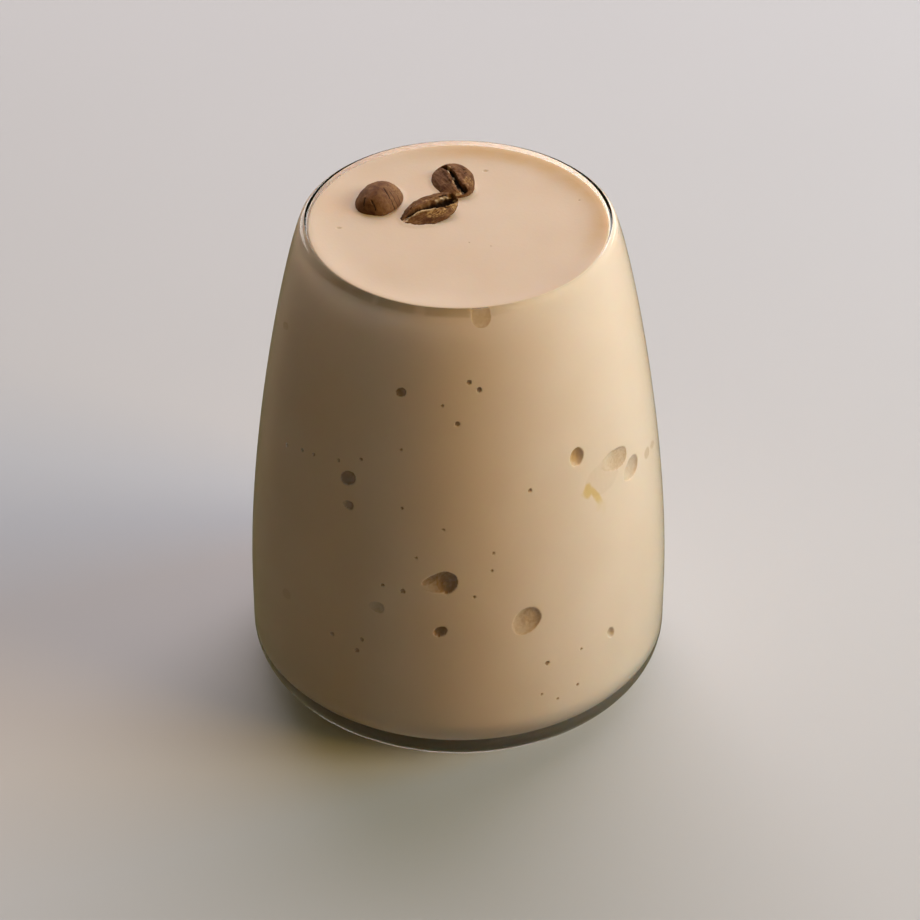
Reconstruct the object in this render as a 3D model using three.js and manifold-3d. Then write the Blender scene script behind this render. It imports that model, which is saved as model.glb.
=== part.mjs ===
// Whipped coffee cream in a stemless glass, filled level with the brim, with three coffee beans on top.
// Millimetres, +Z up. The origin is the middle of the foot, -Y is the front and +X the right-hand side.

import * as THREE from "three";
import { mergeVertices } from "three/addons/utils/BufferGeometryUtils.js";
import Module from "manifold-3d";

// The glass: a tumbler that is widest low down and closes in to its rim
const glassHeight = 94.2;
const rimRadius = 28.4;
const rimLean = THREE.MathUtils.degToRad(21); // how far the wall leans in where it meets the rim
const rimRun = 8; // length over which the wall holds that lean
const bellyRadius = 39;
const bellyHeight = 16;
const bellyRun = 31; // length over which the wall stays nearly upright above the belly
const wallThickness = 2;
const heelRadius = 7.6; // rounding between the wall and the foot
const baseThickness = 4.2;
const floorCornerRadius = 6; // rounding between the inner wall and the inner floor
const footRingInnerRadius = 25; // inside this the underside is hollowed
const footHollowDepth = 1.1;

// The cream: its surface hangs from the wall in a shallow dish
const creamGap = 0.3; // clearance to the glass
const creamEdgeDrop = 0.2; // the edge of the surface below the brim
const creamDishDepth = 0.6; // the middle of the surface below its edge
const creamDishWidth = 6; // width of the curved border beside the wall

// The beans: whole roasted beans, flat on one side with a crease along it
const beanFaceRise = 0.8; // how far the creased side swells out
const beanCreaseDepth = 1.1;
const beanCreaseHalfWidth = 0.55;
const beanGap = 0.4; // clearance of the hollow that each bean lies in
// bluntness is the power that rounds the ends off (1 is an ellipsoid, less is blunter), sway the sideways
// bend of the crease. A bean is rolled about its length, pitched about its width and then turned.
const beans = [
  {
    name: "bean_left",
    length: 10.5,
    width: 8.8,
    depth: 4.3,
    bluntness: 0.64,
    sway: 0,
    faceUp: false,
    roll: -18.5,
    pitch: 10.5,
    turn: 77,
    place: [-14.1, 8.5],
    lift: -1.1,
  },
  {
    name: "bean_front",
    length: 11.1,
    width: 6.7,
    depth: 2.2,
    bluntness: 0.9,
    sway: -0.4,
    faceUp: true,
    roll: 14,
    pitch: -12,
    turn: 28.5,
    place: [-5.1, 3.85],
    lift: 0.95,
  },
  {
    name: "bean_right",
    length: 9.9,
    width: 7.3,
    depth: 3.4,
    bluntness: 0.88,
    sway: -0.34,
    faceUp: true,
    roll: -17,
    pitch: -0.5,
    turn: 117,
    place: [-1, 13.9],
    lift: 1,
  },
];

// Air pockets that show against the glass: degrees round from the front, height, width, height of the
// pocket, and how far it is tipped over, clockwise as seen from outside
const frontPockets = [
  [-75, 77.3, 2.2, 1.6, 0],
  [-56, 27.2, 2.3, 1.5, 20],
  [-34.4, 58.8, 3.1, 2.4, 10],
  [-33.8, 53.5, 2, 1.7, 0],
  [-23, 34.1, 3.2, 2.2, 35],
  [-18.6, 78, 1.8, 1.6, 0],
  [-5.2, 41.4, 6.6, 3.9, -12],
  [-4.9, 31.1, 2.5, 2, -10],
  [8.1, 90.8, 3.1, 2.6, 0],
  [19.2, 32, 6.4, 4.6, -40],
  [38.2, 62.3, 2.6, 3.8, 25],
  [47.3, 21.5, 1.6, 2.4, 20],
  [49, 55.6, 11, 4.4, -38],
  [60.7, 53, 3, 5.2, 20],
  [72, 51.6, 2.4, 2.1, 0],
];
const pocketDepthShare = 0.42; // depth of an air pocket as a share of its smaller width
const backPocketCount = 12;
const backPocketArc = [100, 262]; // degrees round from the front
const backPocketHeights = [20, 84];
const backPocketSizes = [1.8, 5];
const backPocketSpacing = 9; // least distance between two of them

// How finely the round surfaces are divided
const roundSegments = 64;
const wallSteps = 9;
const cornerSteps = 4;
const beanSegments = 24;
const hollowSegments = 16;
const pocketSegments = 10;

const wasm = await Module();
wasm.setup();

function toSolid(geometry) {
  const bare = geometry.clone();
  bare.deleteAttribute("normal");
  bare.deleteAttribute("uv");
  const merged = mergeVertices(bare);
  const mesh = new wasm.Mesh({
    numProp: 3,
    vertProperties: merged.attributes.position.array,
    triVerts: new Uint32Array(merged.index.array),
  });
  return new wasm.Manifold(mesh);
}

function toGeometry(solid) {
  const mesh = solid.getMesh();
  const geometry = new THREE.BufferGeometry();
  geometry.setAttribute("position", new THREE.BufferAttribute(mesh.vertProperties, 3));
  geometry.setIndex(new THREE.BufferAttribute(mesh.triVerts, 1));
  geometry.computeVertexNormals();
  return geometry;
}

function revolve(profile) {
  return new THREE.LatheGeometry(profile, roundSegments).rotateX(Math.PI / 2);
}

// The side of the glass in section, from the belly to where the rim's rounding starts
const rimStart = new THREE.Vector2(
  rimRadius,
  glassHeight - (wallThickness / 2) * (1 - Math.sin(rimLean)),
);
const side = new THREE.CubicBezierCurve(
  new THREE.Vector2(bellyRadius, bellyHeight),
  new THREE.Vector2(bellyRadius, bellyHeight + bellyRun),
  new THREE.Vector2(
    rimStart.x + rimRun * Math.sin(rimLean),
    rimStart.y - rimRun * Math.cos(rimLean),
  ),
  rimStart,
);

// A point of the side's section, moved inwards by inset; share runs from 0 at the belly to 1 at the rim
function sidePoint(share, inset) {
  const tangent = side.getTangent(share);
  const inwards = new THREE.Vector2(-tangent.y, tangent.x);
  return side.getPoint(share).addScaledVector(inwards, inset);
}

function sideSection(inset) {
  const points = [];
  for (let i = 0; i <= wallSteps; i++) points.push(sidePoint(i / wallSteps, inset));
  return points;
}

// Points along an arc of the section, from one angle to another, ends included
function arcPoints(centreX, centreY, radius, fromAngle, toAngle, steps) {
  const points = [];
  for (let i = 0; i <= steps; i++) {
    const angle = fromAngle + ((toAngle - fromAngle) * i) / steps;
    points.push(
      new THREE.Vector2(centreX + radius * Math.cos(angle), centreY + radius * Math.sin(angle)),
    );
  }
  return points;
}

// The rounded corner of the hollow, kept at a distance of gap from the glass
function floorCorner(gap) {
  const corner = floorCornerRadius - gap;
  const centreX = bellyRadius - wallThickness - floorCornerRadius;
  const centreY = baseThickness + floorCornerRadius;
  return arcPoints(centreX, centreY, corner, -Math.PI / 2, 0, cornerSteps);
}

function glassGeometry() {
  const hollowSphere = (footRingInnerRadius ** 2 + footHollowDepth ** 2) / (2 * footHollowDepth);
  const hollowAngle = Math.asin(footRingInnerRadius / hollowSphere);
  const underside = arcPoints(
    0,
    footHollowDepth - hollowSphere,
    hollowSphere,
    Math.PI / 2,
    Math.PI / 2 - hollowAngle,
    cornerSteps,
  );
  underside[0].x = 0;
  const heel = arcPoints(
    bellyRadius - heelRadius,
    heelRadius,
    heelRadius,
    -Math.PI / 2,
    0,
    cornerSteps + 1,
  );
  const rimMiddle = sidePoint(1, wallThickness / 2);
  const rim = arcPoints(
    rimMiddle.x,
    rimMiddle.y,
    wallThickness / 2,
    rimLean,
    rimLean + Math.PI,
    cornerSteps + 2,
  );
  const profile = [
    ...underside,
    ...heel,
    ...sideSection(0).slice(0, -1),
    ...rim,
    ...sideSection(wallThickness).reverse().slice(1),
    ...floorCorner(0).reverse(),
    new THREE.Vector2(0, baseThickness),
  ];
  return revolve(profile);
}

// Height of the cream's surface at a distance from the axis
const creamEdge = new THREE.Vector2(
  sidePoint(1, wallThickness + creamGap).x,
  glassHeight - creamEdgeDrop,
);
function creamSurface(radius) {
  const intoBorder = Math.max(0, 1 - (creamEdge.x - radius) / creamDishWidth);
  return creamEdge.y - creamDishDepth * (1 - intoBorder ** 2);
}

function creamBody() {
  const profile = [
    new THREE.Vector2(0, baseThickness + creamGap),
    ...floorCorner(creamGap),
    ...sideSection(wallThickness + creamGap).slice(1),
  ];
  for (let i = 0; i <= cornerSteps; i++) {
    const radius = creamEdge.x - (creamDishWidth * i) / cornerSteps;
    profile.push(new THREE.Vector2(radius, creamSurface(radius)));
  }
  profile.push(new THREE.Vector2(0, creamSurface(0)));
  return toSolid(revolve(profile));
}

// Distance of the cream's side from the axis at a height above the belly
function creamRadiusAt(height) {
  let low = 0;
  let high = 1;
  for (let i = 0; i < 20; i++) {
    const middle = (low + high) / 2;
    if (sidePoint(middle, wallThickness + creamGap).y < height) low = middle;
    else high = middle;
  }
  return sidePoint(low, wallThickness + creamGap).x;
}

function airPocket([degrees, height, width, tall, tip]) {
  const depth = pocketDepthShare * Math.min(width, tall);
  const around = THREE.MathUtils.degToRad(degrees);
  const radius = creamRadiusAt(height);
  const pocket = new THREE.SphereGeometry(1, pocketSegments, pocketSegments - 3)
    .scale(width / 2, depth, tall / 2)
    .rotateY(THREE.MathUtils.degToRad(tip))
    .translate(0, -radius, 0)
    .rotateZ(around)
    .translate(0, 0, height);
  return toSolid(pocket);
}

// Air pockets round the back, at even odds over the wall and never closer than their spacing
function backPockets() {
  let seed = 41;
  const random = (from, to) => {
    seed = (seed * 16807) % 2147483647;
    return from + ((to - from) * seed) / 2147483647;
  };
  const pockets = [];
  while (pockets.length < backPocketCount) {
    const degrees = random(...backPocketArc);
    const height = random(...backPocketHeights);
    const width = random(...backPocketSizes);
    const tall = width * random(0.6, 1);
    const tip = random(-40, 40);
    const apart = ([otherDegrees, otherHeight]) =>
      Math.hypot(
        THREE.MathUtils.degToRad(degrees - otherDegrees) * creamRadiusAt(height),
        height - otherHeight,
      ) > backPocketSpacing;
    if (pockets.every(apart)) pockets.push([degrees, height, width, tall, tip]);
  }
  return pockets;
}

// One bean in its own axes: X along it, Y across it, +Z out of the creased side. grow enlarges it all
// round, for the hollow that it leaves in the cream.
function beanGeometry(spec, segments, grow = 0) {
  const { length, width, depth, bluntness, sway } = spec;
  const rings = Math.round(segments * 0.6);
  const bean = new THREE.SphereGeometry(1, segments, rings).rotateZ(-Math.PI / 2);
  const position = bean.attributes.position;
  for (let i = 0; i < position.count; i++) {
    const along = position.getX(i);
    const ring = Math.hypot(position.getY(i), position.getZ(i));
    const fullRing = ring ** bluntness;
    let across = ring > 1e-6 ? position.getY(i) / ring : 0;
    const up = ring > 1e-6 ? position.getZ(i) / ring : 0;
    let height = -(depth + grow) * fullRing * Math.abs(up);
    if (up > 1e-6) {
      across = Math.sign(across) * Math.abs(across) ** 1.6; // draws the faces together at the crease
      const creaseY = sway * Math.sin(Math.PI * along);
      const offCrease = (across * fullRing * width) / 2 - creaseY;
      const crease = Math.exp(-((offCrease / beanCreaseHalfWidth) ** 2)) * fullRing;
      const swell = Math.sqrt(1 - across ** 2) * fullRing;
      height = (beanFaceRise + grow) * swell - (grow > 0 ? 0 : beanCreaseDepth * crease);
    }
    position.setXYZ(
      i,
      along * (length / 2 + grow),
      across * fullRing * (width / 2 + grow),
      height,
    );
  }
  return bean;
}

// Lays a bean on the cream, turned over first if its creased side is down
function layBean(bean, geometry) {
  if (!bean.faceUp) geometry.rotateX(Math.PI);
  const [x, y] = bean.place;
  return geometry
    .rotateX(THREE.MathUtils.degToRad(bean.roll))
    .rotateY(THREE.MathUtils.degToRad(bean.pitch))
    .rotateZ(THREE.MathUtils.degToRad(bean.turn))
    .translate(x, y, creamSurface(Math.hypot(x, y)) + bean.lift);
}

function creamGeometry() {
  let cream = creamBody();
  for (const pocket of [...frontPockets, ...backPockets()]) cream = cream.subtract(airPocket(pocket));
  for (const bean of beans) {
    const hollow = layBean(bean, beanGeometry(bean, hollowSegments, beanGap));
    cream = cream.subtract(toSolid(hollow));
  }
  return toGeometry(cream);
}

const clearGlass = new THREE.MeshStandardMaterial({
  color: 0xdfe7e4,
  roughness: 0.04,
  metalness: 0,
  transparent: true,
  opacity: 0.35,
});
const whippedCream = new THREE.MeshStandardMaterial({
  color: 0xdcbf9f,
  roughness: 0.55,
  metalness: 0,
});
const roastedBean = new THREE.MeshStandardMaterial({
  color: 0x5f4637,
  roughness: 0.6,
  metalness: 0,
});

function namedMesh(name, geometry, material) {
  const mesh = new THREE.Mesh(geometry, material);
  mesh.name = name;
  return mesh;
}

const group = new THREE.Group();
group.add(namedMesh("glass", glassGeometry(), clearGlass));
group.add(namedMesh("coffee_cream", creamGeometry(), whippedCream));
for (const bean of beans) {
  const solid = toSolid(layBean(bean, beanGeometry(bean, beanSegments)));
  group.add(namedMesh(bean.name, toGeometry(solid), roastedBean));
}

export default group;
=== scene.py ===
# Whipped coffee cream in a stemless glass, with three coffee beans on top.
# Pieces are modelled in millimetres and brought to metres when they are finished.
import math
import random

import bmesh
import bpy
from mathutils import Matrix, Vector, noise
from mathutils.bvhtree import BVHTree
from mathutils.geometry import interpolate_bezier


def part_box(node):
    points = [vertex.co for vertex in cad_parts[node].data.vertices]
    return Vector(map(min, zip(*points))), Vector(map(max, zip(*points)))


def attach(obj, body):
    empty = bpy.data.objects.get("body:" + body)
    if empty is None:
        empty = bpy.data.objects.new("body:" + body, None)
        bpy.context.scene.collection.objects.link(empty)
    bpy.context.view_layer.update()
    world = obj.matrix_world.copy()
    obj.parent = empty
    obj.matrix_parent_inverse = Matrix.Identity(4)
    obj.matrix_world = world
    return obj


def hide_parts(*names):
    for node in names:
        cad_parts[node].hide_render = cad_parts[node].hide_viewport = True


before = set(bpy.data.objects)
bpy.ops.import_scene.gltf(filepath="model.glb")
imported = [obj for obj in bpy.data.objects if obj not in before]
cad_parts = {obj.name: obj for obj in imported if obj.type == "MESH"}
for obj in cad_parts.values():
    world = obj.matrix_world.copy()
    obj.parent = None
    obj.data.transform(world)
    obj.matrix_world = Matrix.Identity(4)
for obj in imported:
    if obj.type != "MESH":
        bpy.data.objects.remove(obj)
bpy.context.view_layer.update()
mm = 0.001
print("frame loaded:", ", ".join(sorted(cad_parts)))
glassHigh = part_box("glass")[1] / mm  # the glass's widest reach to the right, and its top
sharpDegrees = 50  # an edge that turns more than this isn't smoothed


# Small helpers


def finishPiece(bm, name, material, replaced):
    bmesh.ops.scale(bm, vec=(mm, mm, mm), verts=bm.verts)
    mesh = bpy.data.meshes.new(name)
    bm.to_mesh(mesh)
    bm.free()
    mesh.shade_smooth()
    mesh.set_sharp_from_angle(angle=math.radians(sharpDegrees))
    mesh.materials.append(material)
    piece = bpy.data.objects.new(name, mesh)
    bpy.context.scene.collection.objects.link(piece)
    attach(piece, "root")
    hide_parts(*replaced)
    print("made", name, "with", len(mesh.polygons), "faces")


def spinSection(section, turns):
    # section is a list of (distance from the axis, height) points that starts and ends on the axis
    bm = bmesh.new()
    verts = [bm.verts.new((radius, 0, height)) for radius, height in section]
    edges = [bm.edges.new(pair) for pair in zip(verts, verts[1:])]
    bmesh.ops.spin(
        bm,
        geom=verts + edges,
        cent=(0, 0, 0),
        axis=(0, 0, 1),
        angle=math.tau,
        steps=turns,
        use_merge=True,
    )
    bmesh.ops.remove_doubles(bm, verts=bm.verts, dist=1e-4)
    bmesh.ops.recalc_face_normals(bm, faces=bm.faces)
    return bm


def arcSection(centre, radius, fromDegrees, toDegrees, steps):
    points = []
    for i in range(steps + 1):
        angle = math.radians(fromDegrees + (toDegrees - fromDegrees) * i / steps)
        points.append((centre[0] + radius * math.cos(angle), centre[1] + radius * math.sin(angle)))
    return points


def smooth(low, high, value):
    share = min(1, max(0, (value - low) / (high - low)))
    return share * share * (3 - 2 * share)


def arcShare(arc, degrees):
    # arc is where it starts, where it is full, where it starts to fade and where it ends
    start, full, fading, end = arc
    return smooth(start, full, degrees) * (1 - smooth(fading, end, degrees))


# Materials


def newMaterial(name):
    material = bpy.data.materials.new(name)
    material.use_nodes = True
    nodes = material.node_tree.nodes
    return material, nodes, material.node_tree.links, nodes["Principled BSDF"]


def addNode(nodes, kind, **values):
    node = nodes.new(kind)
    for name, value in values.items():
        node.inputs[name].default_value = value
    return node


def spreadOver(nodes, links, source, low, high):
    # source runs from 0 to 1, and what comes out from low to high
    spread = nodes.new("ShaderNodeMapRange")
    spread.inputs["To Min"].default_value = low
    spread.inputs["To Max"].default_value = high
    links.new(source, spread.inputs["Value"])
    return spread.outputs["Result"]


def addBump(nodes, links, source, shader, strength, distance):
    bump = addNode(nodes, "ShaderNodeBump", Strength=strength, Distance=distance)
    links.new(source, bump.inputs["Height"])
    links.new(bump.outputs["Normal"], shader.inputs["Normal"])


def makeMottleGroup():
    # soft blotches of two sizes and a fine grain, from Object coordinates in metres
    group = bpy.data.node_groups.new("mottle", "ShaderNodeTree")
    for name in ("Blotch Scale", "Grain Scale"):
        group.interface.new_socket(name, in_out="INPUT", socket_type="NodeSocketFloat")
    for name in ("Blotches", "Grain"):
        group.interface.new_socket(name, in_out="OUTPUT", socket_type="NodeSocketFloat")
    nodes, links = group.nodes, group.links
    inside = nodes.new("NodeGroupInput")
    outside = nodes.new("NodeGroupOutput")
    place = nodes.new("ShaderNodeTexCoord")
    blotch = addNode(nodes, "ShaderNodeTexNoise", Detail=3, Roughness=0.5)
    grain = addNode(nodes, "ShaderNodeTexNoise", Detail=4, Roughness=0.6)
    level = nodes.new("ShaderNodeMapRange")
    level.inputs["From Min"].default_value = 0.3
    level.inputs["From Max"].default_value = 0.7
    links.new(place.outputs["Object"], blotch.inputs["Vector"])
    links.new(place.outputs["Object"], grain.inputs["Vector"])
    links.new(inside.outputs["Blotch Scale"], blotch.inputs["Scale"])
    links.new(inside.outputs["Grain Scale"], grain.inputs["Scale"])
    links.new(blotch.outputs["Fac"], level.inputs["Value"])
    links.new(level.outputs["Result"], outside.inputs["Blotches"])
    links.new(grain.outputs["Fac"], outside.inputs["Grain"])
    return group


mottle = makeMottleGroup()


def addMottle(nodes, blotchScale, grainScale):
    node = nodes.new("ShaderNodeGroup")
    node.node_tree = mottle
    node.inputs["Blotch Scale"].default_value = blotchScale
    node.inputs["Grain Scale"].default_value = grainScale
    return node


def mixColours(nodes, links, factor, first, second, blend="MIX"):
    # factor, first and second are each a value or a socket
    mix = nodes.new("ShaderNodeMix")
    mix.data_type = "RGBA"
    mix.blend_type = blend
    for socket, given in ((mix.inputs[0], factor), (mix.inputs[6], first), (mix.inputs[7], second)):
        if isinstance(given, bpy.types.NodeSocket):
            links.new(given, socket)
        else:
            socket.default_value = given
    return mix.outputs[2]


def readAttribute(nodes, name):
    attribute = nodes.new("ShaderNodeAttribute")
    attribute.attribute_name = name
    return attribute.outputs["Fac"]


clearGlass = {
    "colour": (0.985, 0.992, 0.988, 1),
    "ior": 1.47,
    "shadowTint": (0.95, 0.96, 0.95, 1),  # what the wall lets through of a lamp's light
    "blotches": 45,
    "grain": 260,
    "smear": 0.035,
    "wave": (0.006, 0.001),  # strength and metres, here and below
}


def makeClearGlass():
    material, nodes, links, shader = newMaterial("clear_tumbler_glass")
    shader.inputs["Base Color"].default_value = clearGlass["colour"]
    shader.inputs["IOR"].default_value = clearGlass["ior"]
    shader.inputs["Transmission Weight"].default_value = 1
    pattern = addMottle(nodes, clearGlass["blotches"], clearGlass["grain"])
    smear = spreadOver(nodes, links, pattern.outputs["Blotches"], 0, clearGlass["smear"])
    links.new(smear, shader.inputs["Roughness"])
    addBump(nodes, links, pattern.outputs["Blotches"], shader, *clearGlass["wave"])
    path = nodes.new("ShaderNodeLightPath")
    clear = nodes.new("ShaderNodeBsdfTransparent")
    clear.inputs["Color"].default_value = clearGlass["shadowTint"]
    either = nodes.new("ShaderNodeMixShader")
    links.new(path.outputs["Is Shadow Ray"], either.inputs["Fac"])
    links.new(shader.outputs["BSDF"], either.inputs[1])
    links.new(clear.outputs["BSDF"], either.inputs[2])
    links.new(either.outputs["Shader"], nodes["Material Output"].inputs["Surface"])
    return material


whippedCream = {
    "colour": (0.715, 0.55, 0.39, 1),
    "deepColour": (0.68, 0.508, 0.348, 1),
    # multiplied in as painted shade in the pockets and in the band under the rim; the specks on top are
    # darkened with it too
    "pocketTint": (0.4, 0.24, 0.03, 1),
    "stainTint": (0.88, 0.75, 0.34, 1),
    # multiplied in as painted shade along the top's border behind and to the right
    "borderTint": (0.9, 0.72, 0.42, 1),
    "blotches": 55,
    "grain": 1400,
    "roughness": (0.44, 0.6),
    "specular": 0.3,
    "scatter": 0.3,
    "scatterReach": (1, 0.5, 0.25),  # red, green and blue
    "scatterScale": 0.0013,
    "foam": (0.1, 0.0002),
}


def makeWhippedCream():
    material, nodes, links, shader = newMaterial("whipped_coffee_cream")
    pattern = addMottle(nodes, whippedCream["blotches"], whippedCream["grain"])
    colour = mixColours(
        nodes, links, pattern.outputs["Blotches"], whippedCream["colour"], whippedCream["deepColour"]
    )
    for name in ("pocket", "stain", "border"):
        share = readAttribute(nodes, name)
        colour = mixColours(nodes, links, share, colour, whippedCream[name + "Tint"], "MULTIPLY")
    links.new(colour, shader.inputs["Base Color"])
    gloss = spreadOver(nodes, links, pattern.outputs["Grain"], *whippedCream["roughness"])
    links.new(gloss, shader.inputs["Roughness"])
    shader.inputs["Specular IOR Level"].default_value = whippedCream["specular"]
    shader.inputs["Subsurface Weight"].default_value = whippedCream["scatter"]
    shader.inputs["Subsurface Radius"].default_value = whippedCream["scatterReach"]
    shader.inputs["Subsurface Scale"].default_value = whippedCream["scatterScale"]
    addBump(nodes, links, pattern.outputs["Grain"], shader, *whippedCream["foam"])
    return material


roastedBean = {
    "light": (0.25, 0.115, 0.048, 1),
    "dark": (0.1, 0.038, 0.017, 1),
    "goldColour": (0.53, 0.31, 0.12, 1),
    "skinColour": (0.74, 0.54, 0.32, 1),
    # painted shade in the crease and the cracks
    "creaseColour": (0.018, 0.009, 0.005, 1),
    "blotches": 380,
    "grain": 3600,
    "roughness": (0.5, 0.8),
    "specular": 0.15,
    "grit": (0.4, 0.00008),
}


def makeRoastedBean():
    material, nodes, links, shader = newMaterial("roasted_coffee_bean")
    pattern = addMottle(nodes, roastedBean["blotches"], roastedBean["grain"])
    colour = mixColours(
        nodes, links, pattern.outputs["Blotches"], roastedBean["light"], roastedBean["dark"]
    )
    for name in ("gold", "skin", "crease"):
        share = readAttribute(nodes, name)
        colour = mixColours(nodes, links, share, colour, roastedBean[name + "Colour"])
    links.new(colour, shader.inputs["Base Color"])
    gloss = spreadOver(nodes, links, pattern.outputs["Grain"], *roastedBean["roughness"])
    links.new(gloss, shader.inputs["Roughness"])
    shader.inputs["Specular IOR Level"].default_value = roastedBean["specular"]
    addBump(nodes, links, pattern.outputs["Grain"], shader, *roastedBean["grit"])
    return material


# The glass

tumbler = {
    "rimRadius": 28.4,
    "rimLean": 21,  # degrees that the wall leans in at the rim
    "rimRun": 8,
    "bellyHeight": 16,
    "bellyRun": 31,
    "wall": 2,
    "heelRadius": 7.6,
    "base": 4.2,
    "floorCorner": 6,
    "footRing": 25,
    "footHollow": 1.1,
    "turns": 256,
    "wallSteps": 72,
    "undersideSteps": 24,
    "heelSteps": 20,
    "rimSteps": 20,
    "cornerSteps": 14,
}
rimBead = tumbler["wall"] / 2
rimTop = glassHigh.z - rimBead * (1 - math.sin(math.radians(tumbler["rimLean"])))


def wallSection(inset, steps):
    # the side from the belly up to the rim's rounding, moved inwards by inset
    lean = math.radians(tumbler["rimLean"])
    belly = Vector((glassHigh.x, tumbler["bellyHeight"]))
    shoulder = Vector((tumbler["rimRadius"], rimTop))
    points = interpolate_bezier(
        belly,
        belly + Vector((0, tumbler["bellyRun"])),
        shoulder + tumbler["rimRun"] * Vector((math.sin(lean), -math.cos(lean))),
        shoulder,
        steps + 1,
    )
    moved = []
    for i, point in enumerate(points):
        run = points[min(i + 1, steps)] - points[max(i - 1, 0)]
        run.normalize()
        moved.append((point.x - run.y * inset, point.y + run.x * inset))
    return moved


def wallEnd(inset):
    # the wall's last point, under the rim
    return wallSection(inset, 4)[-1]


def floorCornerSection(inset):
    # the rounded corner between the inner floor and the inner wall; a positive inset is into the glass
    centre = (
        glassHigh.x - tumbler["wall"] - tumbler["floorCorner"],
        tumbler["base"] + tumbler["floorCorner"],
    )
    return arcSection(centre, tumbler["floorCorner"] + inset, -90, 0, tumbler["cornerSteps"])


def makeGlass():
    ring, hollow = tumbler["footRing"], tumbler["footHollow"]
    domeRadius = (ring**2 + hollow**2) / (2 * hollow)
    domeDegrees = math.degrees(math.asin(ring / domeRadius))
    domeCentre = (0, hollow - domeRadius)
    underside = arcSection(domeCentre, domeRadius, 90, 90 - domeDegrees, tumbler["undersideSteps"])
    heelCentre = (glassHigh.x - tumbler["heelRadius"], tumbler["heelRadius"])
    heel = arcSection(heelCentre, tumbler["heelRadius"], -90, 0, tumbler["heelSteps"])
    lean = tumbler["rimLean"]
    rim = arcSection(wallEnd(rimBead), rimBead, lean, lean + 180, tumbler["rimSteps"])
    inner = wallSection(tumbler["wall"], tumbler["wallSteps"])
    section = [(0, hollow)] + underside[1:]
    section += heel + wallSection(0, tumbler["wallSteps"])[:-1] + rim + inner[-2::-1]
    section += floorCornerSection(0)[::-1] + [(0, tumbler["base"])]
    bm = spinSection(section, tumbler["turns"])
    finishPiece(bm, "tumbler", makeClearGlass(), ["glass"])


# The beans

beanForm = {
    "around": 216,
    "along": 132,
    "faceRise": 0.8,
    "faceBulge": 1.6,
    "creaseDepth": 1.5,
    "creaseWobble": 0.14,
    "creaseRagged": 0.35,
    "lipRise": 0.14,
    "lipAside": 0.45,
    "lipWidth": 0.4,
    "crackDepth": 0.1,
    # how dark the painted shade in the cracks is
    "crackShade": 0.85,
    "skinRise": 0.15,
    "skinBright": 0.9,
    "jitter": 0.14,
    "speckle": (0.7, 2.2),  # the middle level, and how much it varies
}
nearZero = 1e-6
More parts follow.
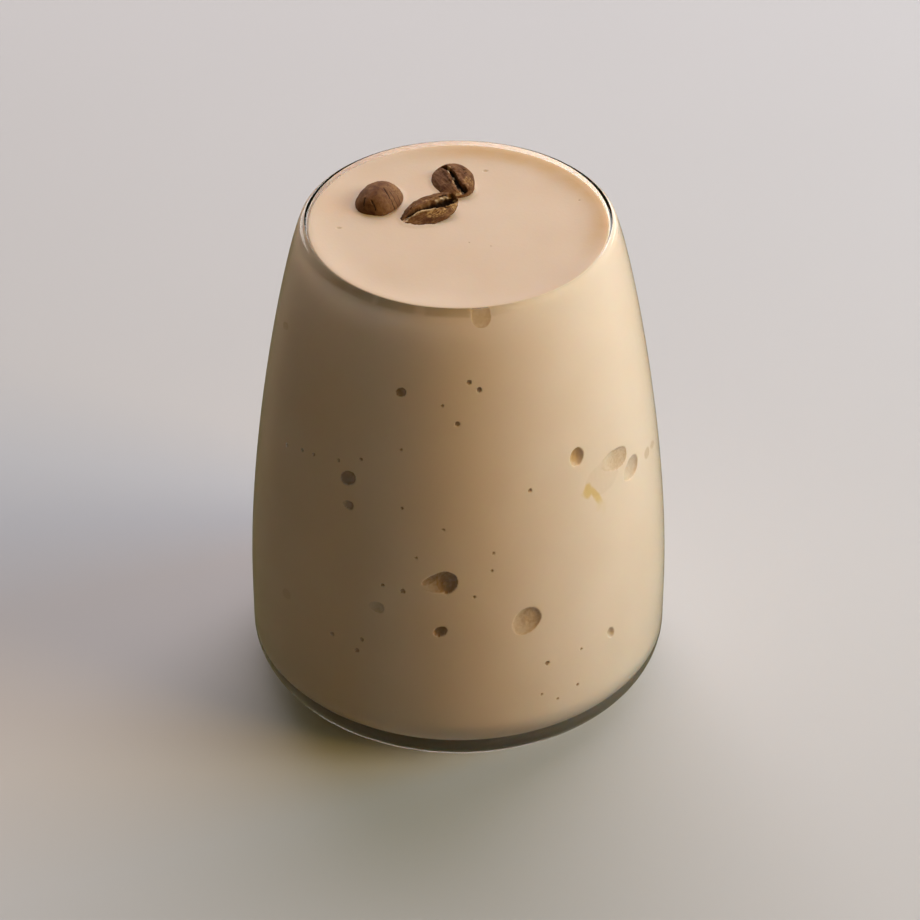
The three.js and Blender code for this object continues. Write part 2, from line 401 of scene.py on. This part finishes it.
# The shape is that of a unit ball with its poles at the ends: bluntness rounds them off, sway bends the
# crease, and the crease opens from its narrow to its wide half width towards the open end. Strokes of
# papery skin and cracks run from one place to another, and patches of gold lie round one: a place is how
# far along the bean, from -1 to 1, and how many mm off its crease or middle line.
beans = {
    "bean_left": {
        "length": 10.5,
        "width": 8.8,
        "depth": 4.3,
        "bluntness": 0.64,
        "sway": 0,
        "aside": 0,
        "openEnd": 1,
        "narrow": 0.3,
        "wide": 0.5,
        "faceUp": False,
        "roll": -18.5,
        "pitch": 10.5,
        "turn": 77,
        "place": (-14.1, 8.5),
        "lift": -1.18,
        "dent": 0.04,
        "wrinkle": 0.06,
        "grit": 0.012,
        "gold": 0.12,
        "skin": [],
        "patches": [(0.1, 3.2, 2.2, 1.3, 0.16)],
        "cracks": [
            ((-0.2, 2.1), (-0.42, 2.8), 0.08),
            ((-0.42, 2.8), (-0.62, 3.75), 0.1),
            ((-0.24, 3.1), (-0.35, 3.6), 0.07),
            ((-0.35, 3.6), (-0.45, 4.2), 0.08),
            ((-0.1, 3.9), (-0.18, 4.3), 0.07),
            ((-0.85, 0.4), (-0.96, 0.9), 0.12),
            ((-0.72, -0.9), (-0.9, -1.1), 0.12),
        ],
        "seed": 3,
    },
    "bean_front": {
        "length": 11.1,
        "width": 6.7,
        "depth": 2.2,
        "bluntness": 0.9,
        "sway": -0.4,
        "aside": 0.45,
        "openEnd": 1,
        "narrow": 0.3,
        "wide": 0.95,
        "faceUp": True,
        "roll": 14,
        "pitch": -12,
        "turn": 28.5,
        "place": (-5.1, 3.85),
        "lift": 0.95,
        "dent": 0.12,
        "wrinkle": 0.2,
        "grit": 0.055,
        "gold": 0.22,
        "skin": [
            ((-0.88, -0.46), (-0.5, -0.62), 0.27),
            ((-0.5, -0.62), (-0.1, -0.75), 0.34),
            ((-0.1, -0.75), (0.14, -1.0), 0.4),
            ((0.34, 0.88), (0.62, 0.96), 0.12),
            ((0.62, 0.96), (0.86, 0.68), 0.12),
            ((0.88, -0.1), (0.97, -0.7), 0.26),
        ],
        "patches": [
            (0.8, -1.75, 1.2, 1.1, 1.35),
            (0.62, -1.2, 0.8, 0.5, 0.85),
            (0.12, -1.9, 2.1, 1.0, 0.85),
            (0.2, 1.5, 1.7, 0.5, 0.4),
        ],
        "cracks": [
            ((0.42, -1.1), (0.5, -1.7), 0.12),
            ((-0.55, 0.9), (-0.3, 1.3), 0.12),
            ((0.5, 1.4), (0.75, 1.1), 0.1),
        ],
        "seed": 11,
    },
    "bean_right": {
        "length": 9.9,
        "width": 7.3,
        "depth": 3.4,
        "bluntness": 0.88,
        "sway": -0.34,
        "aside": -0.35,
        "openEnd": -1,
        "narrow": 0.3,
        "wide": 0.5,
        "faceUp": True,
        "roll": -17,
        "pitch": -0.5,
        "turn": 117,
        "place": (-1, 13.9),
        "lift": 1,
        "dent": 0.08,
        "wrinkle": 0.07,
        "grit": 0.015,
        "gold": 0.16,
        "skin": [
            ((0.7, -0.2), (0.58, -0.35), 0.25),
            ((0.42, 0.35), (0.3, 0.38), 0.18),
            ((0.14, 0.1), (0.05, 0.12), 0.22),
            ((-0.2, 0.33), (-0.52, 0.35), 0.2),
            ((-0.45, 0.02), (-0.6, 0.0), 0.18),
            ((-0.9, 1.5), (-0.97, 0.9), 0.3),
        ],
        "patches": [(-0.6, -1.9, 1.5, 0.9, 0.5), (-0.88, 1.3, 0.8, 0.7, 0.8)],
        "cracks": [
            ((-0.68, -0.1), (-0.86, -0.1), 0.5),
            ((0.05, -2.6), (0.12, -2.2), 0.12),
            ((-0.1, -2.3), (-0.16, -2.0), 0.12),
        ],
        "seed": 19,
    },
}


def onStroke(strokes, place, halfLength):
    # 1 on a stroke and 0 away from it
    share = 0
    for start, end, width in strokes:
        start = Vector((start[0] * halfLength, start[1]))
        run = Vector((end[0] * halfLength, end[1])) - start
        reached = min(1, max(0, (place - start).dot(run) / run.length_squared))
        gap = (place - start - run * reached).length
        share = max(share, 1 - smooth(0.6 * width, 1.2 * width, gap))
    return share


def shapeBean(bm, bean):
    # turns a unit ball, poles along X, into a bean: domed below, creased and gently swollen above
    # the crease layer holds painted shade for the crease and the cracks
    crease = bm.verts.layers.float.new("crease")
    gold = bm.verts.layers.float.new("gold")
    papery = bm.verts.layers.float.new("skin")
    shift = Vector((bean["seed"], 0, 0))
    halfLength = bean["length"] / 2
    for vert in bm.verts:
        along, y, z = vert.co
        ring = math.hypot(y, z)
        fullRing = ring ** bean["bluntness"]
        across = y / ring if ring > nearZero else 0
        up = z / ring if ring > nearZero else 0
        height = -bean["depth"] * fullRing * abs(up)
        off = across * fullRing * bean["width"] / 2
        patch = noise.fractal(Vector((along * 5, y * 4, z * 4)) + shift, 0.9, 2.0, 3)
        gilding = bean["gold"] * smooth(-0.1, 0.5, patch)
        shadow = 0
        creased = up > nearZero
        if creased:
            across = math.copysign(abs(across) ** beanForm["faceBulge"], across)
            wobble = beanForm["creaseWobble"] * noise.noise(Vector((along * 4, 0, 0)) + shift)
            creaseY = bean["sway"] * math.sin(math.pi * along) + wobble
            creaseY += bean["aside"] * (1 - along**4)
            off = across * fullRing * bean["width"] / 2 - creaseY
            opening = smooth(-0.5, 0.7, along * bean["openEnd"])
            halfWidth = bean["narrow"] + (bean["wide"] - bean["narrow"]) * opening
            ragged = noise.noise(Vector((along * 9, off * 1.5, 5)) + shift)
            halfWidth *= 1 + beanForm["creaseRagged"] * ragged
            groove = math.exp(-((off / halfWidth) ** 4)) * min(1, fullRing * 1.3)
            fromLip = (abs(off) - halfWidth - beanForm["lipAside"]) / beanForm["lipWidth"]
            lip = math.exp(-(fromLip**2)) * fullRing
            swell = math.sqrt(1 - across**2) * fullRing
            height = beanForm["faceRise"] * swell + beanForm["lipRise"] * lip * (1 + ragged)
            height -= beanForm["creaseDepth"] * groove * (0.7 + 0.3 * opening)
            shadow = smooth(0.3, 0.9, groove)
        if creased == bean["faceUp"]:
            place = Vector((along * halfLength, off))
            jitter = Vector((noise.noise(vert.co * 9 + shift), noise.noise(vert.co * 9 - shift)))
            place += beanForm["jitter"] * jitter
            skin = onStroke(bean["skin"], place, halfLength)
            crack = onStroke(bean["cracks"], place, halfLength)
            for patchAlong, patchOff, halfLong, halfWide, strength in bean["patches"]:
                spread = math.hypot(
                    (place.x - patchAlong * halfLength) / halfLong, (place.y - patchOff) / halfWide
                )
                level, varied = beanForm["speckle"]
                speckle = level + varied * noise.noise(vert.co * 14 + shift)
                gilding = max(gilding, strength * (1 - smooth(0.55, 1.15, spread)) * speckle)
            vert[papery] = beanForm["skinBright"] * skin
            shadow = max(shadow * (1 - beanForm["skinBright"] * skin), beanForm["crackShade"] * crack)
            rise = beanForm["skinRise"] * skin - beanForm["crackDepth"] * crack
            height += rise if creased else -rise
        vert[gold] = min(1, gilding)
        vert[crease] = shadow
        vert.co = (along * halfLength, across * fullRing * bean["width"] / 2, height)


def roughenBean(bm, bean):
    # lengthwise wrinkles, fine grit and a few shallow dents
    shift = Vector((0, bean["seed"] * 3, 0))
    bm.normal_update()
    moves = []
    for vert in bm.verts:
        stretched = Vector((vert.co.x * 0.3, vert.co.y * 1.7, vert.co.z * 1.7)) + shift
        wrinkle = noise.fractal(stretched, 0.8, 2.0, 4)
        dent = noise.noise(vert.co * 0.42 + shift)
        grit = noise.noise(vert.co * 7 + shift)
        move = bean["wrinkle"] * (wrinkle - 0.5) + bean["dent"] * min(0, dent + 0.1)
        moves.append(vert.normal * (move + bean["grit"] * grit))
    for vert, move in zip(bm.verts, moves):
        vert.co += move


def turnPiece(bm, axis, degrees):
    matrix = Matrix.Rotation(math.radians(degrees), 3, axis)
    bmesh.ops.rotate(bm, matrix=matrix, verts=bm.verts)


def makeBean(name, material):
    bean = beans[name]
    bm = bmesh.new()
    bmesh.ops.create_uvsphere(
        bm, u_segments=beanForm["around"], v_segments=beanForm["along"], radius=1
    )
    turnPiece(bm, "Y", 90)
    shapeBean(bm, bean)
    roughenBean(bm, bean)
    if not bean["faceUp"]:
        turnPiece(bm, "X", 180)
    turnPiece(bm, "X", bean["roll"])
    turnPiece(bm, "Y", bean["pitch"])
    turnPiece(bm, "Z", bean["turn"])
    x, y = bean["place"]
    height = surfaceHeight(math.hypot(x, y)) + bean["lift"]
    bmesh.ops.translate(bm, vec=(x, y, height), verts=bm.verts)
    bmesh.ops.recalc_face_normals(bm, faces=bm.faces)
    shape = BVHTree.FromBMesh(bm)
    finishPiece(bm, name + "_roasted", material, [name])
    return shape


# The cream

cream = {
    "reach": 0.05,  # how far it reaches into the wall, so that no air gap shows
    "rimGap": 0.05,  # beside the rim's rounding it has drawn back by this
    "edgeDrop": 0.2,
    "edgeRadius": 26.62,
    "edgeRounding": 0.2,
    "dishDepth": 0.6,
    "dishWidth": 6,
    "turns": 192,
    "wallSteps": 64,
    "footSteps": 5,
    "beadSteps": 10,
    "lipSteps": 5,
    "surfaceSteps": 26,
    "refinements": 3,
    "refineMargin": 1.2,
    "sideRadius": 20,  # further out than this and this far below the brim is the side
    "sideTop": 1,
    "topRadius": 25.5,  # nearer the axis than this and no further below the brim is the top
    "topDepth": 2.5,
    "beanReach": 0.3,  # how far it reaches up into a bean
    "beanOverlap": 0.2,  # and how far in from the side
    "beanProbe": 15,  # the underside of a bean is looked for from this far below the top
    "leastHollow": 0.1,
    "meniscus": 0.12,
    "meniscusWidth": 0.5,
    "undulation": 0.05,
    "speckDepth": 0.08,
    "speckDark": 0.35,
}
# degrees round from the front, height, width, height of the pocket, clockwise tip, depth, darkness of
# its painted shade, and how much narrower and shallower it gets towards its left end
pockets = [
    (-75.3, 77.4, 3, 1.4, -25, 0.04, 0.22, 0),
    (-56.1, 27.1, 2.9, 2.1, -29, 0.04, 0.16, 0),
    (-34.5, 58.9, 3.4, 2.6, -42, 1, 1, 0),
    (-33.8, 53.6, 2.2, 1.7, 1, 0.7, 0.85, 0.2),
    (-23.3, 34.4, 3, 2.3, 9, 0.5, 0.42, 0.2),
    (-18.7, 78.1, 1.9, 1.6, -37, 0.75, 0.9, 0),
    (-5.5, 41.4, 6.6, 4.1, -19, 0.6, 0.85, 0.45),
    (-3.2, 41.6, 4.5, 3.7, -73, 1.4, 1, 0),
    (-7.8, 42, 3.6, 1.4, -34, 0.6, 0.85, 0.12),
    (-4.9, 31.2, 2.6, 2, -35, 0.9, 1, 0),
    (8.2, 92.4, 3.3, 4, 0, 0.12, 0.36, 0),
    (19.2, 32, 6, 5, -53, 0.6, 0.55, 0.1),
    (20.9, 32.8, 3.6, 2.8, 64, 0.6, 0.62, 0),
    (38.1, 62.3, 3.5, 2.9, -80, 0.9, 0.5, 0),
    (47.2, 21.9, 2.5, 1.6, 69, 0.6, 0.4, 0),
    (47.4, 55.5, 8.7, 6.1, -1, 0.04, 0.08, 0),
    (52.9, 57.4, 7.9, 3.9, 13, 0.4, 0.6, 0.25),
    (60.9, 52.9, 5.3, 3.9, -17, 0.6, 0.56, 0.15),
    (72.3, 51.6, 2.7, 2.1, 17, 0.04, 0.3, 0),
    (77.9, 51, 2.5, 1.4, 18, 0.04, 0.25, 0),
]
# how ragged and uneven the pockets are, how much darker their painted shade is along the rim, and how
# mottled it is
pocketForm = {"ragged": 0.05, "uneven": 0.12, "rimDark": 0.25, "mottle": 0.3}
# how dark the painted shade in the tiny pockets is
tinyDark = 0.8
# degrees round from the front, height, size
tinyPockets = [
    (3.6, 80.9, 0.9),
    (6.8, 79.4, 0.95),
    (-0.3, 73.2, 0.9),
    (-5, 76.5, 0.5),
    (21.6, 58.8, 0.75),
    (25.2, 21.5, 0.85),
    (35, 13.9, 0.55),
    (23.6, 14.6, 0.5),
    (28.6, 12.4, 0.5),
    (36.2, 21.9, 0.5),
    (-21.6, 39.4, 0.7),
    (-15.7, 39, 0.95),
    (-12, 46.3, 0.55),
    (-4.3, 52.6, 0.5),
    (4.5, 38.7, 0.55),
    (-17.6, 67.3, 0.55),
    (-16.6, 56, 0.55),
    (10.1, 47.5, 0.5),
    (9.5, 43.9, 0.5),
    (-27.7, 26.3, 0.85),
    (-29.1, 23.5, 0.9),
    (-37.3, 24.9, 0.9),
    (-61.6, 57.5, 0.8),
    (-53.6, 59.2, 0.7),
    (-48.4, 60, 0.7),
    (-38.5, 61.5, 0.65),
    (-30.5, 63.5, 0.6),
]
# yellow stains in and below the pockets: degrees round, height, length, width, clockwise tip
stains = [(44.3, 52.5, 7.1, 1.5, 63), (41.1, 54.6, 3.3, 2.3, -88), (38.1, 62.3, 3, 2.3, -80)]
stainStrength = 0.8
# each arc is in degrees round from the front: its start, where it is full, where it fades, its end
# a border of painted shade on the top, behind and to the right
border = {
    "arc": (58, 95, 165, 215),
    "inner": 22,
    "uneven": 1.6,
    "fade": 3.2,
    "depth": 1.3,
    "strength": 0.62,
}
# a band of painted shade under the rim, left off at the patches
shadeBand = {
    "arc": (-64, -48, 0, 26),
    "radius": 26,
    "from": 92.25,
    "belowBrim": 0.4,
    "strength": 0.27,
    "patches": [(-31.8, 1.2), (-14, 2.4), (8.2, 4)],  # where its middle is, and half its width
}
drawn = {"arc": (80, 92, 172, 200), "radius": 26, "from": 91.7, "fade": 0.3}
backPockets = {
    "seed": 41,
    "count": 12,
    "arc": (100, 262),
    "heights": (20, 84),
    "sizes": (1.8, 5),
    "flatness": (0.6, 1),
    "tips": (-40, 40),
    "spacing": 9,
    "depthShare": 0.42,
    # how dark the painted shade in these pockets is
    "darkness": 0.5,
    "taper": 0.1,
    "gap": 0.3,
    "tinyCount": 22,
    "tinySizes": (0.5, 0.95),
}
# place on top, length and width
specks = [
    (4.9, 18.7, 1.1, 0.9),
    (-21.1, -0.4, 1.1, 0.7),
    (21.6, 8.5, 0.5, 0.45),
    (1.9, -5.1, 0.4, 0.35),
    (5.7, -6.2, 0.4, 0.35),
]


def surfaceHeight(radius):
    edge = wallEnd(tumbler["wall"] + backPockets["gap"])[0]
    intoBorder = max(0, 1 - (edge - radius) / cream["dishWidth"])
    return glassHigh.z - cream["edgeDrop"] - cream["dishDepth"] * (1 - intoBorder**2)


def creamSection():
    inset = tumbler["wall"] - cream["reach"]
    side = wallSection(inset, cream["wallSteps"])
    # up beside the inner half of the rim's rounding, then over a small lip
    bead = rimBead + cream["rimGap"]
    beadCentre = wallEnd(rimBead)
    onBead = math.degrees(math.acos((cream["edgeRadius"] - beadCentre[0]) / bead))
    contact = arcSection(beadCentre, bead, 180 + tumbler["rimLean"], onBead, cream["beadSteps"])
    contact[0] = side[-1]
    rounding = cream["edgeRounding"]
    edgeHeight = glassHigh.z - cream["edgeDrop"]
    lipCentre = (cream["edgeRadius"] - rounding, edgeHeight - rounding)
    lip = arcSection(lipCentre, rounding, 0, 90, cream["lipSteps"])
    section = [(0, tumbler["base"] - cream["reach"])]
    corner = floorCornerSection(cream["reach"])
    start = corner[-1]
    section += corner
    for i in range(1, cream["footSteps"]):
        section.append((start[0], start[1] + (side[0][1] - start[1]) * i / cream["footSteps"]))
    section += side[:-1] + contact + lip
    start = lip[-1][0]
    for i in range(1, cream["surfaceSteps"] + 1):
        radius = start * (1 - i / cream["surfaceSteps"])
        section.append((radius, surfaceHeight(radius)))
    return section


def sideRadius(height, inset=tumbler["wall"] - cream["reach"]):
    # distance of the cream's side from the axis at a height
    side = wallSection(inset, cream["wallSteps"])
    for (lowRadius, low), (highRadius, high) in zip(side, side[1:]):
        if low <= height <= high:
            return lowRadius + (highRadius - lowRadius) * (height - low) / (high - low)
    return side[0][0] if height < side[0][1] else side[-1][0]


def scatterBackPockets():
    # pockets round the back like those in front, never closer than their spacing
    seed = backPockets["seed"]
    multiplier, modulus = 16807, 2147483647

    def pick(low, high):
        nonlocal seed
        seed = seed * multiplier % modulus
        return low + (high - low) * seed / modulus

    found = []
    while len(found) < backPockets["count"]:
        degrees = pick(*backPockets["arc"])
        height = pick(*backPockets["heights"])
        width = pick(*backPockets["sizes"])
        tall = width * pick(*backPockets["flatness"])
        tip = pick(*backPockets["tips"])
        radius = sideRadius(height, tumbler["wall"] + backPockets["gap"])
        if all(
            math.hypot(math.radians(degrees - other[0]) * radius, height - other[1])
            > backPockets["spacing"]
            for other in found
        ):
            depth = backPockets["depthShare"] * tall
            darkness, taper = backPockets["darkness"], backPockets["taper"]
            found.append((degrees, height, width, tall, tip, depth, darkness, taper))
    tiny = random.Random(backPockets["seed"])
    for i in range(backPockets["tinyCount"]):
        size = tiny.uniform(*backPockets["tinySizes"])
        degrees, height = tiny.uniform(*backPockets["arc"]), tiny.uniform(*backPockets["heights"])
        found.append(roundPocket(degrees, height, size))
    return found


def roundPocket(degrees, height, size):
    # half a ball, in the order of the list of pockets
    return degrees, height, size, size, 0, size / 2, tinyDark, 0


def pocketList():
    tiny = [roundPocket(*spot) for spot in tinyPockets]
    prepared = []
    for degrees, height, width, tall, tip, depth, darkness, taper in (
        pockets + tiny + scatterBackPockets()
    ):
        prepared.append(
            {
                "angle": math.radians(degrees),
                "height": height,
                "radius": sideRadius(height),
                "halfWidth": width / 2,
                "halfTall": tall / 2,
                "tip": math.radians(tip),
                "depth": depth,
                "darkness": darkness,
                "taper": taper,
                "span": max(width, tall) / 2,
            }
        )
    return prepared


def pocketPlace(pocket, angle, height):
    # how far along the pocket, from -1 to 1, and 0 in the middle of the pocket to 1 on its rim
    turn = (angle - pocket["angle"] + math.pi) % math.tau - math.pi
    u = turn * pocket["radius"]
    v = height - pocket["height"]
    cos, sin = math.cos(pocket["tip"]), math.sin(pocket["tip"])
    along = u * cos - v * sin
    acrossIt = u * sin + v * cos
    along /= pocket["halfWidth"]
    halfTall = pocket["halfTall"] * max(0.2, 1 + pocket["taper"] * min(1, along))
    return along, math.hypot(along, acrossIt / halfTall)


def pocketDistance(pocket, angle, height):
    return pocketPlace(pocket, angle, height)[1]


def aroundAxis(co):
    return math.atan2(co.x, -co.y), math.hypot(co.x, co.y)


def onSide(co):
    outside = math.hypot(co.x, co.y) >= cream["sideRadius"]
    return outside and co.z <= glassHigh.z - cream["sideTop"]


def onTop(co):
    inside = math.hypot(co.x, co.y) <= cream["topRadius"]
    return inside and co.z >= glassHigh.z - cream["topDepth"]


def moveInwards(vert, angle, distance):
    vert.co.x -= math.sin(angle) * distance
    vert.co.y += math.cos(angle) * distance


def nearPocket(co, allPockets, margin):
    angle = aroundAxis(co)[0]
    return any(
        abs(co.z - pocket["height"]) < pocket["span"] + margin
        and pocketDistance(pocket, angle, co.z)
        < 1 + margin / min(pocket["halfWidth"], pocket["halfTall"])
        for pocket in allPockets
    )


def nearBeanOrSpeck(co, shapes, margin):
    near = any(shape.find_nearest(co)[3] < cream["meniscusWidth"] + margin for shape in shapes)
    return near or any(
        math.hypot(co.x - x, co.y - y) < length / 2 + margin / 2 for x, y, length, width in specks
    )


def refine(bm, allPockets, shapes):
    # smaller faces near the pockets, beans and specks, closer in each time
    for step in range(cream["refinements"]):
        margin = cream["refineMargin"] / 2**step
        edges = []
        for edge in bm.edges:
            middle = (edge.verts[0].co + edge.verts[1].co) / 2
            if (onSide(middle) and nearPocket(middle, allPockets, margin)) or (
                onTop(middle) and nearBeanOrSpeck(middle, shapes, margin)
            ):
                edges.append(edge)
        bmesh.ops.subdivide_edges(bm, edges=edges, cuts=1, use_grid_fill=True)
        print("cream refined to", len(bm.faces), "faces")


def pressPockets(bm, allPockets):
    # presses each pocket in and paints shade into it
    mask = bm.verts.layers.float["pocket"]
    for vert in bm.verts:
        if not onSide(vert.co):
            continue
        angle = aroundAxis(vert.co)[0]
        deepest = 0
        darkness = 0
        for pocket in allPockets:
            if abs(vert.co.z - pocket["height"]) > pocket["span"] * 1.3:
                continue
            along, distance = pocketPlace(pocket, angle, vert.co.z)
            raggedness = noise.noise(vert.co * 1.1 / pocket["span"] ** 0.5)
            distance *= 1 + pocketForm["ragged"] * raggedness
            if distance < 1:
                fade = 1 - min(1, 4 * pocket["taper"]) * (1 - smooth(-1, 0.3, along))
                depth = pocket["depth"] * fade * (1 - distance**3) ** 0.6
                depth *= 1 + pocketForm["uneven"] * noise.noise(vert.co * 1.3)
                deepest = max(deepest, depth)
                # painted shade in the pocket, darker along the edge, with a row of the finest bubbles
                edge = smooth(0.7, 0.95, distance) * (0.5 + noise.noise(vert.co * 5))
                mottling = pocketForm["mottle"] * noise.noise(vert.co * 2.5)
                paintedShade = fade**0.5 * pocket["darkness"] * (1 + pocketForm["rimDark"] * edge + mottling)
                darkness = max(darkness, paintedShade)
        if deepest > 0:
            moveInwards(vert, angle, deepest)
            vert[mask] = min(1, darkness)


def paintStains(bm):
    mask = bm.verts.layers.float["stain"]
    for vert in bm.verts:
        if not onSide(vert.co):
            continue
        angle, radius = aroundAxis(vert.co)
        for degrees, height, length, width, tip in stains:
            spot = {
                "angle": math.radians(degrees),
                "height": height,
                "radius": radius,
                "halfWidth": length / 2,
                "halfTall": width / 2,
                "tip": math.radians(tip),
                "taper": 0,
            }
            distance = pocketDistance(spot, angle, vert.co.z)
            distance *= 1 + 0.2 * noise.noise(vert.co * 0.9)
            vert[mask] = max(vert[mask], stainStrength * (1 - smooth(0.6, 1.1, distance)))


def paintBorderShade(bm):
    # a yellowish-brown border of painted shade on the top, behind and to the right, next to the rim
    mask = bm.verts.layers.float["border"]
    for vert in bm.verts:
        if vert.co.z < glassHigh.z - border["depth"]:
            continue
        angle, radius = aroundAxis(vert.co)
        share = arcShare(border["arc"], math.degrees(angle) % 360)
        inner = border["inner"] + border["uneven"] * noise.noise(vert.co * 0.11)
        share *= smooth(inner, inner + border["fade"], radius)
        vert[mask] = border["strength"] * share * (1 + 0.3 * noise.noise(vert.co * 0.5))


def paintShadeBand(bm):
    # a brown band of painted shade under the rim, left of the middle, left off at a few light patches
    mask = bm.verts.layers.float["pocket"]
    top = glassHigh.z - shadeBand["belowBrim"]
    for vert in bm.verts:
        angle, radius = aroundAxis(vert.co)
        if radius < shadeBand["radius"] or not shadeBand["from"] <= vert.co.z <= top:
            continue
        degrees = math.degrees(angle)
        share = arcShare(shadeBand["arc"], degrees)
        for middle, half in shadeBand["patches"]:
            share *= smooth(0.8 * half, 1.2 * half, abs(degrees - middle))
        share *= 1 + 0.3 * noise.noise(vert.co * 0.5)
        vert[mask] = max(vert[mask], shadeBand["strength"] * share)


def drawBack(bm):
    # behind and to the right, the cream has drawn back from the top of the wall
    top = wallEnd(rimBead)[1] - drawn["fade"]
    for vert in bm.verts:
        angle, radius = aroundAxis(vert.co)
        if radius < drawn["radius"] or not drawn["from"] <= vert.co.z <= top:
            continue
        share = arcShare(drawn["arc"], math.degrees(angle) % 360)
        share *= smooth(drawn["from"], drawn["from"] + drawn["fade"], vert.co.z)
        moveInwards(vert, angle, share * (cream["reach"] + cream["rimGap"]))


def sinkBeans(bm, shapes):
    # hollows the top out under the beans, lets it rise a little round them and sinks the specks in
    mask = bm.verts.layers.float["pocket"]
    for vert in bm.verts:
        if not onTop(vert.co):
            continue
        x, y = vert.co.x, vert.co.y
        level = vert.co.z + cream["undulation"] * noise.noise(Vector((x * 0.12, y * 0.12, 2)))
        floor = level
        for shape in shapes:
            point = Vector((x, y, level))
            onBean, normal, _, nearest = shape.find_nearest(point)
            level += cream["meniscus"] * math.exp(-((nearest / cream["meniscusWidth"]) ** 2))
            if (point - onBean).dot(normal) >= 0 or nearest < cream["beanOverlap"]:
                continue
            below = Vector((x, y, level - cream["beanProbe"]))
            hit = shape.ray_cast(below, Vector((0, 0, 1)))[0]
            if hit is not None:
                floor = min(floor, hit.z + cream["beanReach"])
        for speckX, speckY, length, width in specks:
            distance = math.hypot((x - speckX) / (length / 2), (y - speckY) / (width / 2))
            if distance < 1:
                level -= cream["speckDepth"] * math.sqrt(1 - distance**2)
                vert[mask] = cream["speckDark"] * smooth(0, 0.5, 1 - distance)
        hollow = floor < level - cream["meniscus"] - cream["leastHollow"]
        vert.co.z = min(level, floor) if hollow else level


def makeCream(beanShapes):
    bm = spinSection(creamSection(), cream["turns"])
    for name in ("pocket", "stain", "border"):
        bm.verts.layers.float.new(name)
    allPockets = pocketList()
    refine(bm, allPockets, beanShapes)
    drawBack(bm)
    pressPockets(bm, allPockets)
    paintStains(bm)
    paintBorderShade(bm)
    paintShadeBand(bm)
    sinkBeans(bm, beanShapes)
    bmesh.ops.recalc_face_normals(bm, faces=bm.faces)
    finishPiece(bm, "cream_fill", makeWhippedCream(), ["coffee_cream"])


beanMaterial = makeRoastedBean()
beanShapes = [makeBean(name, beanMaterial) for name in beans]
makeCream(beanShapes)
makeGlass()


# Floor, light and camera


paleFloor = {
    "light": (0.57, 0.555, 0.52, 1),
    "dark": (0.54, 0.525, 0.49, 1),
    "blotches": 3,
    "grain": 700,
    "roughness": 0.7,
    "halfWidth": 6,  # metres, here and below
    "height": -0.00003,  # the foot only touches it
}


def makeFloor():
    material, nodes, links, shader = newMaterial("pale_floor")
    pattern = addMottle(nodes, paleFloor["blotches"], paleFloor["grain"])
    tone = mixColours(
        nodes, links, pattern.outputs["Blotches"], paleFloor["light"], paleFloor["dark"]
    )
    links.new(tone, shader.inputs["Base Color"])
    shader.inputs["Roughness"].default_value = paleFloor["roughness"]
    bm = bmesh.new()
    bmesh.ops.create_grid(bm, x_segments=2, y_segments=2, size=paleFloor["halfWidth"])
    bmesh.ops.translate(bm, vec=(0, 0, paleFloor["height"]), verts=bm.verts)
    mesh = bpy.data.meshes.new("floor")
    bm.to_mesh(mesh)
    bm.free()
    mesh.materials.append(material)
    floor = bpy.data.objects.new("floor", mesh)
    bpy.context.scene.collection.objects.link(floor)
    floor.visible_glossy = False  # so pale a reflection would grey the glass


# degrees round from the front towards the right, degrees up, distance, size, watts and colour
softLamps = {
    "warm side": (76, 34, 1.1, (0.5, 0.5), 6.65, (1, 0.67, 0.25)),
    "cool side": (95, 20, 1.1, (0.6, 0.6), 9.1, (0.2, 0.58, 1)),
    "back": (170, 45, 1.2, (1.3, 0.9), 15.7, (0.92, 0.86, 1)),
}
# these only shine on the glass
shines = {
    "sheen": (76, 34, 1.1, (0.5, 0.5), 1.2),
    "left card": (206, 24, 1.2, (0.55, 0.5), 2.6),
    "right card": (154, 24, 1.2, (0.3, 0.5), 1.2),
}
lampsAim = (0, 0, 0.05)
roomLight = (0.095, 0.085, 0.032, 1)  # only enough to fill the shadows, a little warm


def makeLamp(name, degreesRound, degreesUp, distance, size, watts, colour=(1, 1, 1)):
    data = bpy.data.lights.new(name, "AREA")
    data.shape = "RECTANGLE"
    data.size, data.size_y = size
    data.energy = watts
    data.color = colour
    lamp = bpy.data.objects.new(name, data)
    bpy.context.scene.collection.objects.link(lamp)
    around, up = math.radians(degreesRound), math.radians(degreesUp)
    towards = Vector(
        (math.sin(around) * math.cos(up), -math.cos(around) * math.cos(up), math.sin(up))
    )
    lamp.location = Vector(lampsAim) + towards * distance
    lamp.rotation_euler = towards.to_track_quat("Z", "Y").to_euler()
    return lamp


def makeWorld():
    world = bpy.data.worlds.new("studio")
    bpy.context.scene.world = world
    world.use_nodes = True
    background = world.node_tree.nodes["Background"]
    background.inputs["Color"].default_value = roomLight
    background.inputs["Strength"].default_value = 1


view = {
    "distance": 660,
    "down": 36.49,  # degrees
    "aimHeight": 42.04,
    "aimRight": 0.3,
    "focalPixels": 3555.8,
    "imagePixels": 920,
    "sensor": 36,
}


def makeCamera():
    data = bpy.data.cameras.new("camera")
    data.sensor_width = view["sensor"]
    data.lens = view["focalPixels"] / view["imagePixels"] * data.sensor_width
    data.clip_start = 0.01
    data.clip_end = 100
    camera = bpy.data.objects.new("camera", data)
    bpy.context.scene.collection.objects.link(camera)
    down = math.radians(view["down"])
    camera.location = (
        view["aimRight"] * mm,
        -view["distance"] * math.cos(down) * mm,
        (view["aimHeight"] + view["distance"] * math.sin(down)) * mm,
    )
    camera.rotation_euler = (math.pi / 2 - down, 0, 0)
    bpy.context.scene.camera = camera


makeFloor()
for name, setting in softLamps.items():
    makeLamp(name, *setting).visible_glossy = False
for name, setting in shines.items():
    lamp = makeLamp(name, *setting)
    lamp.visible_diffuse = False
    lamp.visible_transmission = False
makeWorld()
makeCamera()
bpy.context.scene.view_settings.view_transform = "Standard"
print("stage, lamps and camera in place")
